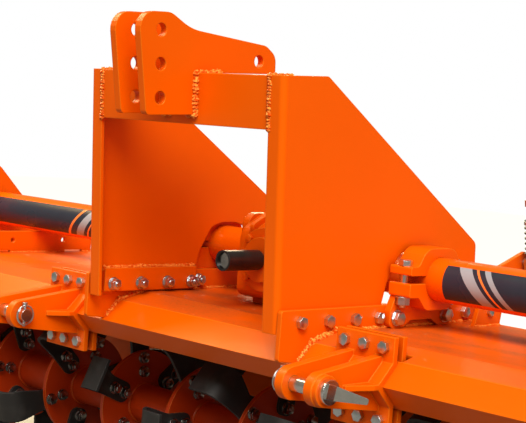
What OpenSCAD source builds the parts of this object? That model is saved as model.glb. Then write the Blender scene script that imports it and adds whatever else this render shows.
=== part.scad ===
// Rotary tiller for a tractor's three-point hitch: hood, rotor with L blades,
// bolted mast, clamped beam tubes, side drive and sprung trailing board.
// X runs across the machine, the tractor is on the -Y side, Z is up.

/* [Rotor] */
// Radius of the circle that the blade tips sweep
tip_r = 225; // [210:1:240]
// Height of the blade tips over the ground when parked on the skids
tip_clear = 15; // [8:1:30]
// Distance of the rotor axis behind the front of the mast posts
rotor_y = 320; // [310:1:335]
// Outside diameter of the rotor tube
rotor_tube_d = 89; // [76:1:102]
// Diameter of the stub shafts that carry the rotor
stub_d = 50; // [40:1:60]
// Diameter of the blade flanges
flange_d = 250; // [220:1:270]
// Thickness of the blade flanges
flange_t = 10; // [8:1:14]
// Number of blade flanges along the rotor
flange_n = 11; // [5:1:13]
// Distance of the outer flanges from the end plates
flange_edge = 101; // [100:1:130]
// Blades on each flange, turned left and right in turn
blade_n = 6; // [4:2:6]
// Turn from one flange's blades to the next flange's
blade_step = 22; // [10:1:30]
// Thickness of the blades
blade_t = 8; // [6:1:10]
// Width of the blade shank at its bolts
shank_w = 50; // [40:1:58]
// Width of the blade tip
tip_w = 76; // [60:1:90]
// Depth of the milled blade seats in the flange faces
blade_seat = 1; // [0.5:0.5:2]
// How far the blade tip reaches sideways from its seat
tip_reach = 82; // [60:1:88]
// Inside radius of the blade's bend
blade_bend = 34; // [20:1:45]

/* [Hood] */
// Width between the end plates
work_w = 2440; // [2300:10:2600]
// Thickness of the deck sheet
sheet_t = 6; // [4:1:8]
// Room between the blade tips and the deck sheet
hood_gap = 66; // [50:1:90]
// Position of the deck's front bend behind the mast posts
deck_front_y = 155; // [140:1:170]
// Position of the deck's rear bend behind the mast posts
deck_rear_y = 615; // [605:1:650]
// Slope of the hood behind the rear bend
hood_slope = 62; // [50:1:75]
// Length of the sloped rear of the hood
hood_rear_l = 108; // [90:1:130]
// Side of the square front beam, which stands on its edge
beam_side = 60; // [50:1:70]
// Wall of the front beam
beam_wall = 6; // [4:1:8]
// Distance from the front beam back to the rotor axis
beam_reach = 233; // [225:1:250]
// Depth of the front beam's middle under the deck
beam_drop = 60; // [52:1:70]
// Thickness of the end plates
end_t = 10; // [8:1:14]
// Rise of the end plates over the deck
end_rise = 61; // [40:1:80]
// Height of the end plates' bottom edge over the ground
end_foot = 90; // [70:1:120]
// Room round the hitch clamps in the deck's front edge
notch_room = 6; // [3:1:12]
// Thickness of the ribs on the deck under the beam tubes
rib_t = 10; // [6:1:14]
// Length of the ribs
rib_l = 360; // [300:1:400]
// Distance of the ribs from the end plates
rib_edge = 220; // [160:1:300]
// Room between the ribs and the beam tubes
rib_room = 1; // [1:0.5:4]
// Diameter of the spare holes in the ribs
spare_hole_d = 14; // [8:1:18]
// Spacing of the spare holes
spare_pitch = 166; // [120:1:180]

/* [Skids] */
// Width of the skid runners
skid_w = 60; // [40:1:80]
// Thickness of the skid runners
skid_t = 10; // [6:1:14]
// Thickness of the skid webs
skid_web_t = 10; // [8:1:14]
// Overlap of the skid web on the end plate
skid_lap = 45; // [30:1:50]
// Radius of the upturned front of the skid
skid_nose_r = 90; // [60:1:110]

/* [Mast] */
// Width over the two mast plates
mast_w = 563; // [540:1:590]
// Thickness of the mast plates
mast_t = 8; // [6:1:12]
// Width of the front flange folded in from each mast plate
post_w = 37; // [28:1:50]
// Height of the mast posts
post_h = 479; // [450:1:500]
// Outside radius of the fold between post and plate
fold_r = 12; // [9:1:20]
// Forward lean of the posts
mast_lean = 3.8; // [0:0.1:6]
// Length of the mast plate's top edge
mast_top_l = 121; // [90:1:150]
// Length of the mast plate from the posts to its rear edge
mast_l = 610; // [590:1:618]
// Height of the mast plate's rear edge over the foot of the posts
mast_rear_h = 129; // [110:1:150]
// Room between the mast plates and the deck
mast_lift = 4; // [2:1:8]
// Half-width of the arch that lets the beam tubes through
arch_w = 100; // [92:1:106]
// Height of the crossbar
crossbar_h = 100; // [80:1:110]
// Depth of the crossbar
crossbar_d = 60; // [50:1:70]
// Wall of the crossbar
crossbar_wall = 6; // [4:1:8]
// Thickness of the foot strips inside the mast plates
strip_t = 10; // [8:1:14]
// Height of the foot strips
strip_h = 50; // [45:1:60]
// Thickness of the deck brackets outside the mast plates
bracket_t = 10; // [8:1:14]
// Height of the deck brackets over the deck
bracket_h = 45; // [38:1:60]
// Diameter of the foot bolts' holes
foot_hole_d = 14; // [10:0.5:18]

/* [Top link] */
// Thickness of the top link lugs
lug_t = 16; // [12:1:20]
// Room between the two lugs
lug_gap = 57; // [52:1:64]
// Diameter of the top link pin holes
top_pin_d = 25.7; // [19:0.1:32]
// Distance of the pin holes in front of the posts
top_hole_y = 90; // [84:1:100]
// Height of the upper pin hole over the top of the posts
top_hole_rise = 78; // [70:1:86]
// Spacing of the three pin holes
top_hole_pitch = 64; // [56:1:70]
// Distance of the rear stay hole behind the posts
stay_hole_y = 171; // [160:1:180]
// Height of the rear stay hole over the top of the posts
stay_hole_z = 24; // [20:1:28]

/* [Lower hitch] */
// Distance of the lower pins in front of the beam's middle
lower_pin_reach = 172; // [150:1:190]
// Diameter of the lower pins
lower_pin_d = 28; // [22:0.1:30]
// Clearance of the pins in their ears
pin_play = 0.3; // [0.2:0.05:0.5]
// Distance between the middles of the two clevises
clevis_span = 876; // [840:1:900]
// Room between the two ears of a clevis
clevis_gap = 50; // [46:1:60]
// Thickness of the ears
ear_t = 18; // [14:1:22]
// Radius of the ears round the pin
ear_r = 30; // [26:1:36]
// Thickness of the boss on the outer side of each ear
boss_t = 10; // [4:1:14]
// Thickness of the ribs between ears and clamp plates
hitch_rib_t = 10; // [6:1:14]
// Width of the clamp plates along the beam
clamp_w = 136; // [124:1:150]
// Thickness of the clamp plates
clamp_t = 11; // [8:1:13]
// Height of the clamp plates over and under the beam's middle
clamp_h = 86; // [80:1:92]
// Distance of the clamp bolts over and under the beam's middle
clamp_bolt_z = 66; // [62:1:70]
// Gap between the front and rear clamp plates
clamp_gap = 14; // [8:1:18]
// Diameter of the clamp bolts' holes
clamp_hole_d = 14; // [12:0.5:18]
// Width of the bent tab on the pin's outer end
tab_w = 26; // [20:1:30]
// Length of the bent tab
tab_l = 62; // [50:1:80]

/* [Drive] */
// Height of the beam tubes' axis over the deck
axis_rise = 101.5; // [92:0.5:110]
// Distance of the beam tubes' axis behind the mast posts
axis_y = 397; // [390:1:405]
// Outside diameter of the beam tubes
tube_d = 88.9; // [76:0.1:95]
// Wall of the beam tubes
tube_wall = 8; // [5:1:12]
// Half-width of the gearbox over its side flanges
gearbox_half = 97; // [85:1:110]
// Thickness of the gearbox side flanges
gearbox_flange_t = 18; // [12:1:24]
// Height of the gearbox side flanges
gearbox_flange_h = 184; // [170:1:194]
// Length of the gearbox housing along the machine
gearbox_l = 236; // [210:1:250]
// Diameter of the input shaft
shaft_d = 34.9; // [30:0.1:45]
// Diameter of the plastic sleeve on the input shaft
sleeve_d = 43; // [41:0.5:50]
// Length of the plastic sleeve
sleeve_l = 100; // [80:1:120]
// Bearing clearance round the turning shafts
shaft_play = 0.3; // [0.2:0.05:0.5]
// Width of the tube clamps across the machine
saddle_w = 54; // [44:1:56]
// Reach of the tube clamps' flanges from the tube's axis
saddle_reach = 92; // [84:1:98]
// Gap between saddle and cap
saddle_split = 16; // [8:1:20]
// Thickness of the saddle's flanges
saddle_flange_t = 28; // [20:1:32]
// Thickness of the cap's flanges
cap_flange_t = 18; // [14:1:22]
// Thickness of the saddle's back plate on the deck bracket
saddle_back_t = 15; // [10:1:20]
// Distance of the saddle's bolts from the tube's axis
saddle_bolt_y = 79; // [74:1:84]
// Wall of the cap round the tube
cap_wall = 18; // [14:1:22]
// Width of the side gear case
case_w = 84; // [70:1:100]
// Radius of the gear case's two ends
case_r = 97; // [85:1:104]
// Thickness of the gear case's cover
cover_t = 9; // [6:1:12]
// Depth of the rotor bearing hub
hub_l = 48; // [36:1:56]

/* [Trailing board] */
// Thickness of the board
board_t = 5; // [4:1:8]
// Length of the board's flat part under the hinge
board_l = 270; // [240:1:290]
// Length of the board's rear lip
lip_l = 55; // [40:1:70]
// Lean of the board behind the vertical
board_lean = 18; // [12:1:22]
// Side room between the board and the end plates
board_room = 15; // [8:1:25]
// Diameter of the hinge rod
hinge_d = 18; // [14:1:22]
// Outside diameter of the hinge knuckles
knuckle_d = 34; // [28:1:38]
// Width of the hinge knuckles
knuckle_w = 60; // [40:1:80]
// Distance of the spring rods from the deck brackets
rod_side = 88.5; // [84:0.5:110]
// Diameter of the spring rods
rod_d = 18; // [14:1:20]
// Distance of the rod pins below the hinge
rod_pin_drop = 132; // [120:1:145]
// Distance of the rod pins behind the hinge
rod_pin_back = 85; // [80:1:92]
// Diameter of the rod pins on the board
rod_pin_d = 16; // [12:1:18]
// Radial play of the rod eyes on their pins
eye_play = 4; // [3.5:0.1:5]
// Height of the swivels over the deck
swivel_rise = 131; // [120:1:145]
// Distance of the swivels behind the hinge
swivel_back = 6; // [0:1:12]
// Thickness of the brackets that carry the swivels
arm_t = 10; // [8:1:14]
// Diameter of the swivels' pins
stub_pin_d = 20; // [16:1:24]
// Outside diameter of the springs
spring_d = 44; // [38:1:48]
// Thickness of the spring wire
spring_wire = 6; // [5:0.5:7]
// Length of the upper springs
upper_spring_l = 74; // [60:1:90]
// Length of the lower springs
lower_spring_l = 120; // [110:1:130]

/* [Hidden] */
$fn = 64;

paint = [1, 0.34, 0.02];
steel = [0.72, 0.73, 0.74];
black = [0.1, 0.1, 0.11];
dark = [0.3, 0.3, 0.32];

// Heights that follow from the rotor
rotor_z = tip_clear + tip_r;
deck_z = rotor_z + tip_r + hood_gap + sheet_t;
beam_y = rotor_y - beam_reach;
beam_z = deck_z - beam_drop;
beam_hd = beam_side / sqrt(2);
post_z = deck_z - 2;
axis_z = deck_z + axis_rise;
end_x = work_w / 2;
case_x = end_x + end_t;

// Hood outline from the beam's top edge over the two bends to the rear edge
hood_front = [beam_y, beam_z + beam_hd];
hood_rear = [deck_rear_y + hood_rear_l * cos(hood_slope), deck_z - hood_rear_l * sin(hood_slope)];
hinge_y = hood_rear[0] + knuckle_d / 2 - 2;
hinge_z = hood_rear[1] - knuckle_d / 2 - 6;

// Mast across the machine
mast_x = mast_w / 2;
bracket_x = mast_x + bracket_t;
mast_low = deck_z + mast_lift;
bolt_z = deck_z + bracket_h * 0.46;
foot_bolts = [53, 130, 207, 279];
rear_bolt_y = 563;

// Lower hitch
lower_pin_y = beam_y - lower_pin_reach;
clevis_x = clevis_span / 2;
ear_in = clevis_x - clevis_gap / 2;
ear_out = clevis_x + clevis_gap / 2;

// Spring rods at rest
rod_x = bracket_x + rod_side;
rod_pin = [hinge_y + rod_pin_back, hinge_z - rod_pin_drop];
swivel = [hinge_y + swivel_back, deck_z + swivel_rise];
rod_len = norm(swivel - rod_pin);
rod_tilt = atan2(rod_pin[0] - swivel[0], swivel[1] - rod_pin[1]);
swivel_h = 30;
collar_t = 8;

// Rounded outlines
function unit(v) = v / norm(v);
function wrap(a) = a > 180 ? a - 360 : a < -180 ? a + 360 : a;
function corner(a, b, c, r, n = 6) =
    let (u = unit(a - b), v = unit(c - b), half = acos(max(-1, min(1, u * v))) / 2)
    let (d = min(r / tan(half), 0.48 * min(norm(a - b), norm(c - b))), q = d * tan(half))
    let (o = b + unit(u + v) * q / sin(half), s = b + u * d - o, e = b + v * d - o)
    let (a0 = atan2(s[1], s[0]), turn = wrap(atan2(e[1], e[0]) - a0))
    [for (i = [0:n]) o + q * [cos(a0 + turn * i / n), sin(a0 + turn * i / n)]];
function rounded(p) = let (n = len(p))
    [for (i = [0:n - 1])
        let (b = [p[i][0], p[i][1]], a = p[(i + n - 1) % n], c = p[(i + 1) % n])
        each (p[i][2] > 0 ? corner([a[0], a[1]], b, [c[0], c[1]], p[i][2]) : [b])];
function tilted(p, a) = [p[0] * cos(a) - p[1] * sin(a), p[0] * sin(a) + p[1] * cos(a)];

// Outline of a top link lug, over the foot of the posts
top_hole_z = post_h + top_hole_rise;
lug_top = top_hole_z + 34;
lug_pts = rounded([
    [4 - top_hole_y - 38, post_h - 82, 10], [-top_hole_y - 56, lug_top, 46],
    [-top_hole_y + 24, lug_top, 40], [-14, post_h + 82, 120], [stay_hole_y + 20, post_h + stay_hole_z + 32, 30],
    [stay_hole_y + 48, post_h + stay_hole_z + 12, 26], [stay_hole_y + 48, post_h - 1, 8],
    [crossbar_d + 20, post_h - 1, 0], [crossbar_d + 20, post_h - 82, 8]]);

// Outline of the board, from the hinge down to the rear lip
board_dir = [sin(board_lean), -cos(board_lean)];
board_nrm = [cos(board_lean), sin(board_lean)];
board_top = [hinge_y, hinge_z] + board_nrm * (knuckle_d / 2 - board_t - 2);
board_end = board_top + board_dir * board_l;
lip_end = board_end + lip_l * [cos(35), -sin(35)];

// Middle of the whole machine, which stands over the origin
y_front = min([for (p = lug_pts) tilted(p, mast_lean)[0]]);
y_rear = lip_end[0] + board_t * sin(35);
x_mid = (case_w + cover_t - hub_l) / 2;
y_mid = (y_front + y_rear) / 2;

module placed() { translate([-x_mid, -y_mid, 0]) children(); }
module on_left() { mirror([1, 0, 0]) children(); }
// Extrudes an outline drawn in Y and Z across the machine
module across(x0, x1) {
    translate([x0, 0, 0]) rotate([90, 0, 90]) linear_extrude(x1 - x0) children();
}
module bar_x(x0, x1, d) {
    translate([x0, 0, 0]) rotate([0, 90, 0]) cylinder(d = d, h = x1 - x0);
}
module bore_x(y, z, d, x0, x1) { translate([0, y, z]) bar_x(x0, x1, d); }
module on_rod() { translate([0, swivel[0], swivel[1]]) rotate([rod_tilt, 0, 0]) children(); }

// Outlines
module beam_2d(side) { translate([beam_y, beam_z]) rotate(45) square(side, center = true); }
module hood_2d() {
    polygon([hood_front, [deck_front_y, deck_z], [deck_rear_y, deck_z], hood_rear,
        [hood_rear[0], 0], [hood_front[0], 0]]);
}
module sheet_2d() {
    difference() {
        hood_2d();
        intersection() {
            offset(delta = -sheet_t) hood_wide_2d();
            translate([-500, -10]) square([3000, 3000]);
        }
        beam_2d(beam_side);
        translate([hood_front[0] - 1, -1]) square([deck_front_y, beam_z + beam_hd - sheet_t]);
        translate([-500, -1]) square([3000, hood_rear[1] + 1]);
    }
}
module hood_wide_2d() {
    polygon([hood_front - 300 * unit([deck_front_y, deck_z] - hood_front), [deck_front_y, deck_z],
        [deck_rear_y, deck_z], hood_rear + 300 * unit(hood_rear - [deck_rear_y, deck_z]),
        [hood_rear[0], -300], [-300, -300]]);
}

// Upright rib under a beam tube, with spare holes and relief slots along its foot
module deck_rib_2d() {
    rib_h = axis_rise - tube_d / 2 - rib_room;
    y0 = axis_y - 8 - rib_l / 2;
    difference() {
        polygon(rounded([[y0, deck_z - 1, 0], [y0, deck_z + rib_h, 20],
            [y0 + rib_l, deck_z + rib_h, 20], [y0 + rib_l, deck_z - 1, 0]]));
        for (s = [-1, 1]) translate([axis_y - 8 + s * spare_pitch / 2, deck_z + rib_h * 0.57])
            circle(d = spare_hole_d);
        for (s = [-1, 1]) translate([axis_y - 8 + s * rib_l / 3 - 30, deck_z]) square([60, 5]);
    }
}
// The front edge of the deck is notched where the hitch clamps go round the beam
module deck_sheet() {
    notch_w = clamp_w + 2 * notch_room;
    notch_l = clamp_gap / 2 + clamp_t + 14;
    rib_x = end_x - rib_edge;
    color(paint) placed() difference() {
        union() {
            across(-end_x, end_x) sheet_2d();
            for (s = [0, 1]) mirror([s, 0, 0]) across(rib_x, rib_x + rib_t) deck_rib_2d();
        }
        for (s = [-1, 1]) translate([s * clevis_x - notch_w / 2, beam_y - 1, beam_z])
            cube([notch_w, notch_l + 1, 2 * beam_drop]);
    }
}

module front_beam() {
    color(paint) placed() across(-end_x, end_x) difference() {
        beam_2d(beam_side);
        beam_2d(beam_side - 2 * beam_wall);
    }
}

module end_plate() {
    horn_z = axis_z + 119;
    difference() {
        across(end_x, end_x + end_t) difference() {
            polygon(rounded([
                [beam_y - beam_hd - 12, beam_z - beam_hd, 40], [beam_y - beam_hd - 12, beam_z + beam_hd, 40],
                [axis_y - 152, deck_z + end_rise, 20], [axis_y - 105, horn_z, 30],
                [axis_y + 3, horn_z, 30], [axis_y + 3 + horn_z - deck_z - end_rise, deck_z + end_rise, 20],
                [deck_rear_y - 10, deck_z + end_rise, 30],
                [deck_rear_y + 20, deck_z - 10, 40], [hinge_y + 30, hinge_z, 40],
                [rotor_y + tip_r + 40, rotor_z, 120], [rotor_y + tip_r - 20, end_foot, 40],
                [rotor_y - tip_r + 60, end_foot, 60], [beam_y - 10, rotor_z + 60, 120]]));
            translate([axis_y, axis_z]) circle(d = tube_d + 2 * shaft_play);
        }
        bore_x(rotor_y, rotor_z, stub_d + 12, end_x - 1, end_x + end_t + 1);
    }
}
module end_plate_left() { color(paint) placed() on_left() end_plate(); }
module end_plate_right() { color(paint) placed() end_plate(); }

module hinge_rod() { color(steel) placed() bore_x(hinge_y, hinge_z, hinge_d, -end_x, end_x); }

module skid() {
    y0 = rotor_y - tip_r + 75;
    y1 = rotor_y + tip_r - 25;
    across(case_x, case_x + skid_web_t)
        polygon(rounded([[y0, skid_t, 0], [y1, skid_t, 0], [y1, end_foot + skid_lap, 25],
            [y0 + 10, end_foot + skid_lap, 25]]));
    across(case_x, case_x + skid_w) union() {
        translate([y0, 0]) square([y1 - y0, skid_t]);
        translate([y0, skid_nose_r]) intersection() {
            difference() {
                circle(r = skid_nose_r);
                circle(r = skid_nose_r - skid_t);
            }
            rotate(180) square(2 * skid_nose_r);
            rotate(-150) square(2 * skid_nose_r);
        }
    }
}
module skid_left() { color(paint) placed() on_left() skid(); }
module skid_right() { color(paint) placed() skid(); }

// The mast plate leans with the posts and clears the deck and the beam tubes
module mast_2d() {
    difference() {
        translate([0, post_z]) rotate(mast_lean) polygon(rounded([
            [fold_r, 0, 0], [fold_r, post_h, 0], [mast_top_l, post_h, 14],
            [mast_l, mast_rear_h, 18], [mast_l, -120, 0], [fold_r, -60, 0]]));
        translate([-200, post_z - 400]) square([2000, 400]);
        translate([60, mast_low - 400]) square([2000, 400]);
        polygon(rounded([
            [axis_y - arch_w, deck_z - 50, 0], [axis_y - arch_w, deck_z + bracket_h, 0],
            [axis_y - arch_w + 12, axis_z - 12, 30], [axis_y - 55, axis_z + 44, 30],
            [axis_y - 20, axis_z + tube_d / 2 + 9, 30], [axis_y + 20, axis_z + tube_d / 2 + 9, 30],
            [axis_y + 55, axis_z + 44, 30], [axis_y + arch_w - 12, axis_z - 12, 30],
            [axis_y + arch_w, deck_z + bracket_h, 0], [axis_y + arch_w, deck_z - 50, 0]]));
        for (y = foot_bolts) translate([y, bolt_z]) circle(d = foot_hole_d);
        translate([rear_bolt_y, bolt_z]) circle(d = foot_hole_d);
    }
}
module mast_plate() {
    across(mast_x - mast_t, mast_x) mast_2d();
    on_mast() linear_extrude(post_h) polygon(rounded([
        [mast_x - post_w, 0, 0], [mast_x, 0, fold_r], [mast_x, 3 * fold_r, 0], [mast_x - mast_t, 3 * fold_r, 0],
        [mast_x - mast_t, mast_t, fold_r - mast_t], [mast_x - post_w, mast_t, 0]]));
}
module mast_plate_left() { color(paint) placed() on_left() mast_plate(); }
module mast_plate_right() { color(paint) placed() mast_plate(); }

module on_mast() { translate([0, 0, post_z]) rotate([mast_lean, 0, 0]) children(); }
module mast_crossbar() {
    half = mast_x - post_w;
    color(paint) placed() on_mast() translate([-half, 1, post_h - crossbar_h - 1]) difference() {
        cube([2 * half, crossbar_d, crossbar_h]);
        translate([-1, crossbar_wall, crossbar_wall])
            cube([2 * half + 2, crossbar_d - 2 * crossbar_wall, crossbar_h - 2 * crossbar_wall]);
    }
}

module top_link_lug() {
    on_mast() difference() {
        across(lug_gap / 2, lug_gap / 2 + lug_t) difference() {
            polygon(lug_pts);
            translate([1, post_h - crossbar_h - 1]) square([500, crossbar_h]);
        }
        for (i = [0:2])
            bore_x(-top_hole_y, top_hole_z - i * top_hole_pitch, top_pin_d, lug_gap / 2 - 1, lug_gap / 2 + lug_t + 1);
        bore_x(stay_hole_y, post_h + stay_hole_z, top_pin_d, lug_gap / 2 - 1, lug_gap / 2 + lug_t + 1);
    }
}
module top_link_lug_left() { color(paint) placed() on_left() top_link_lug(); }
module top_link_lug_right() { color(paint) placed() top_link_lug(); }

module mast_strips() {
    color(paint) placed() for (s = [0, 1]) mirror([s, 0, 0])
        across(mast_x - mast_t - strip_t, mast_x - mast_t) difference() {
            translate([30, mast_low]) square([axis_y - arch_w - 33, strip_h]);
            for (y = foot_bolts) translate([y, bolt_z]) circle(d = foot_hole_d);
        }
}

module deck_bracket() {
    across(mast_x, bracket_x) difference() {
        polygon(rounded([[0, deck_z - 50, 6], [0, deck_z + bracket_h, 6],
            [deck_rear_y - 8, deck_z + bracket_h, 20], [deck_rear_y - 8, deck_z - 60, 0],
            [beam_y, deck_z - 60, 0]]));
        hood_2d();
        beam_2d(beam_side);
        translate([beam_y - beam_hd, 0]) square([beam_hd, beam_z]);
        for (y = foot_bolts) translate([y, bolt_z]) circle(d = foot_hole_d);
        for (s = [-1, 1]) translate([axis_y + s * saddle_bolt_y, bolt_z]) circle(d = foot_hole_d);
        translate([rear_bolt_y, bolt_z]) circle(d = foot_hole_d);
    }
}
module deck_bracket_left() { color(paint) placed() on_left() deck_bracket(); }
module deck_bracket_right() { color(paint) placed() deck_bracket(); }

// Plate that wraps half of the beam, with flats above and below for the bolts
module clamp_half_2d() {
    g = clamp_gap / 2;
    k = beam_hd + clamp_t * sqrt(2);
    polygon([[-g, clamp_h], [-g, beam_hd - g], [-beam_hd, 0], [-g, g - beam_hd], [-g, -clamp_h],
        [-g - clamp_t, -clamp_h], [-g - clamp_t, g + clamp_t - k], [-k, 0],
        [-g - clamp_t, k - g - clamp_t], [-g - clamp_t, clamp_h]]);
}
module clamp_bolt_holes() {
    for (i = [-1:1], s = [-1, 1])
        translate([clevis_x + i * (clamp_w - 44) / 2, beam_y - 60, beam_z + s * clamp_bolt_z])
            rotate([-90, 0, 0]) cylinder(d = clamp_hole_d, h = 120);
}
module ear_2d() {
    difference() {
        union() {
            translate([lower_pin_y, beam_z]) circle(r = ear_r);
            polygon([[lower_pin_y, beam_z + ear_r], [beam_y - clamp_gap / 2 - clamp_t, beam_z + clamp_h - 36],
                [beam_y - clamp_gap / 2 - clamp_t, beam_z + 36 - clamp_h], [lower_pin_y, beam_z - ear_r]]);
        }
        translate([beam_y, beam_z]) polygon([[-beam_hd - clamp_t * sqrt(2) + 1, 0],
            [0, beam_hd + clamp_t * sqrt(2) - 1], [0, -beam_hd - clamp_t * sqrt(2) + 1]]);
    }
}
module hitch_bracket() {
    apex = beam_y - beam_hd - clamp_t * sqrt(2);
    difference() {
        union() {
            across(clevis_x - clamp_w / 2, clevis_x + clamp_w / 2) translate([beam_y, beam_z]) clamp_half_2d();
            across(ear_in - ear_t, ear_in) ear_2d();
            across(ear_out, ear_out + ear_t) ear_2d();
            bore_x(lower_pin_y, beam_z, 2 * ear_r - 4, ear_out, ear_out + ear_t + boss_t);
            translate([0, 0, beam_z - hitch_rib_t / 2]) linear_extrude(hitch_rib_t) polygon([
                [ear_out + ear_t - 1, apex - 62], [ear_out + ear_t + 6, apex - 62],
                [clevis_x + clamp_w / 2, apex - 6], [clevis_x + clamp_w / 2, apex + 4], [ear_out + ear_t - 1, apex + 4]]);
            translate([0, 0, beam_z - hitch_rib_t / 2]) linear_extrude(hitch_rib_t) polygon([
                [ear_in - ear_t + 1, apex - 50], [ear_in - ear_t - 4, apex - 50],
                [clevis_x - clamp_w / 2, apex - 6], [clevis_x - clamp_w / 2, apex + 4], [ear_in - ear_t + 1, apex + 4]]);
        }
        bore_x(lower_pin_y, beam_z, lower_pin_d + 2 * pin_play, ear_in - ear_t - 1, ear_out + ear_t + boss_t + 1);
        clamp_bolt_holes();
    }
}
module hitch_bracket_left() { color(paint) placed() on_left() hitch_bracket(); }
module hitch_bracket_right() { color(paint) placed() hitch_bracket(); }

module hitch_clamps() {
    color(paint) placed() for (s = [0, 1]) mirror([s, 0, 0]) difference() {
        across(clevis_x - clamp_w / 2, clevis_x + clamp_w / 2)
            translate([beam_y, beam_z]) mirror([1, 0]) clamp_half_2d();
        clamp_bolt_holes();
    }
}

module hitch_pin() {
    head = ear_out + ear_t + boss_t;
    translate([0, lower_pin_y, beam_z]) {
        bar_x(ear_in - ear_t - 18, head, lower_pin_d);
        bar_x(head, head + 10, lower_pin_d + 16);
        translate([head + 9, 0, 0]) rotate([-14, 0, 0]) {
            translate([0, -tab_w * 0.7, -tab_w / 2]) cube([8, tab_w, tab_w]);
            translate([0, tab_w * 0.2, 0]) rotate([90, 0, 51]) linear_extrude(8) polygon(rounded([
                [0, -tab_w / 2, 0], [0, tab_w / 2, 0], [tab_l, tab_w / 5, 4], [tab_l, -tab_w / 5, 4]]));
        }
    }
}
module hitch_pin_left() { color(steel) placed() on_left() hitch_pin(); }
module hitch_pin_right() { color(steel) placed() hitch_pin(); }

// Gearbox with side flanges, a bearing boss for the input shaft and a foot on the deck
gearbox_y0 = axis_y + 83 - gearbox_l;
boss_l = 18;
module gearbox() {
    h = gearbox_flange_h / 2;
    body = gearbox_half - gearbox_flange_t;
    color(paint) placed() difference() {
        union() {
            across(-body, body) polygon(rounded([
                [gearbox_y0, axis_z - h + 6, 22], [gearbox_y0, axis_z + h - 34, 40],
                [axis_y - 60, axis_z + h + 14, 30], [axis_y + 30, axis_z + h + 14, 30],
                [axis_y + 83, axis_z + h - 40, 40], [axis_y + 83, axis_z - h + 6, 22]]));
            for (s = [0, 1]) mirror([s, 0, 0]) across(body, gearbox_half) polygon(rounded([
                [axis_y - 132, axis_z - h, 30], [axis_y - 132, axis_z + h, 30],
                [axis_y + 90, axis_z + h, 30], [axis_y + 90, axis_z - h, 30]]));
            translate([0, gearbox_y0 - boss_l, axis_z]) rotate([-90, 0, 0])
                cylinder(d = shaft_d + 60, h = boss_l + 20);
            translate([0, gearbox_y0 - 8, axis_z]) rotate([-90, 0, 0]) cylinder(d = shaft_d + 100, h = 20);
            for (x = [-44, 0, 44]) across(x - 5, x + 5) polygon(rounded([
                [gearbox_y0 + 4, axis_z + h - 60, 0], [gearbox_y0 - 4, axis_z + h - 22, 10],
                [axis_y - 70, axis_z + h + 24, 20], [axis_y + 34, axis_z + h + 24, 30],
                [axis_y + 88, axis_z + h - 34, 30], [axis_y + 78, axis_z, 0], [axis_y, axis_z, 0]]));
            translate([0, axis_y - 15, axis_z]) cylinder(d = 40, h = h + 28);
            translate([-body + 10, axis_y - 110, deck_z]) cube([2 * body - 20, 170, axis_rise - h + 12]);
        }
        translate([0, gearbox_y0 - boss_l - 1, axis_z]) rotate([-90, 0, 0])
            cylinder(d = shaft_d + 2 * shaft_play, h = 90);
    }
}

module beam_tube(x1) {
    difference() {
        union() {
            bore_x(axis_y, axis_z, tube_d, gearbox_half, x1);
            bore_x(axis_y, axis_z, tube_d + 56, gearbox_half, gearbox_half + 14);
        }
        bore_x(axis_y, axis_z, tube_d - 2 * tube_wall, gearbox_half - 1, x1 - tube_wall);
    }
}
module beam_tube_left() { color(paint) placed() on_left() beam_tube(end_x + end_t + 4); }
module beam_tube_right() { color(paint) placed() beam_tube(case_x); }

// Cast cradle under the tube, on a back plate with two feet that are bolted to the deck bracket
module clamp_saddle() {
    top = axis_z - saddle_split / 2;
    low = top - saddle_flange_t;
    foot_r = bolt_z - deck_z;
    difference() {
        union() {
            across(bracket_x, bracket_x + saddle_w) polygon(rounded([
                [axis_y - saddle_reach, low, 5], [axis_y - saddle_reach, top, 3],
                [axis_y + saddle_reach, top, 3], [axis_y + saddle_reach, low, 5],
                [axis_y + 62, low, 10], [axis_y + 36, axis_z - tube_d / 2 - 18, 24],
                [axis_y - 36, axis_z - tube_d / 2 - 18, 24], [axis_y - 62, low, 10]]));
            across(bracket_x, bracket_x + saddle_back_t) polygon(rounded([
                [axis_y - saddle_bolt_y - foot_r, deck_z, 12], [axis_y - saddle_bolt_y - foot_r, bolt_z + 14, 12],
                [axis_y - saddle_reach + 8, low + 4, 8], [axis_y + saddle_reach - 8, low + 4, 8],
                [axis_y + saddle_bolt_y + foot_r, bolt_z + 14, 12], [axis_y + saddle_bolt_y + foot_r, deck_z, 12],
                [axis_y + saddle_bolt_y - foot_r, deck_z, 6], [axis_y + 34, deck_z + 14, 10],
                [axis_y - 34, deck_z + 14, 10], [axis_y - saddle_bolt_y + foot_r, deck_z, 6]]));
        }
        translate([0, axis_y, axis_z]) bar_x(bracket_x - 1, bracket_x + saddle_w + 1, tube_d + 2 * shaft_play);
        for (s = [-1, 1])
            bore_x(axis_y + s * saddle_bolt_y, bolt_z, foot_hole_d, bracket_x - 1, bracket_x + saddle_back_t + 1);
    }
}
module clamp_saddle_left() { color(paint) placed() on_left() clamp_saddle(); }
module clamp_saddle_right() { color(paint) placed() clamp_saddle(); }

module clamp_caps() {
    low = axis_z + saddle_split / 2;
    crown = axis_z + tube_d / 2 + cap_wall;
    color(paint) placed() for (s = [0, 1]) mirror([s, 0, 0])
        across(bracket_x, bracket_x + saddle_w) difference() {
            polygon(rounded([
                [axis_y - saddle_reach, low, 3], [axis_y - saddle_reach, low + cap_flange_t, 4],
                [axis_y - saddle_reach + 24, low + cap_flange_t, 12], [axis_y - 46, crown, 52],
                [axis_y + 46, crown, 52], [axis_y + saddle_reach - 24, low + cap_flange_t, 12],
                [axis_y + saddle_reach, low + cap_flange_t, 4], [axis_y + saddle_reach, low, 3]]));
            translate([axis_y, axis_z]) circle(d = tube_d + 2 * shaft_play);
        }
}

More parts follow.
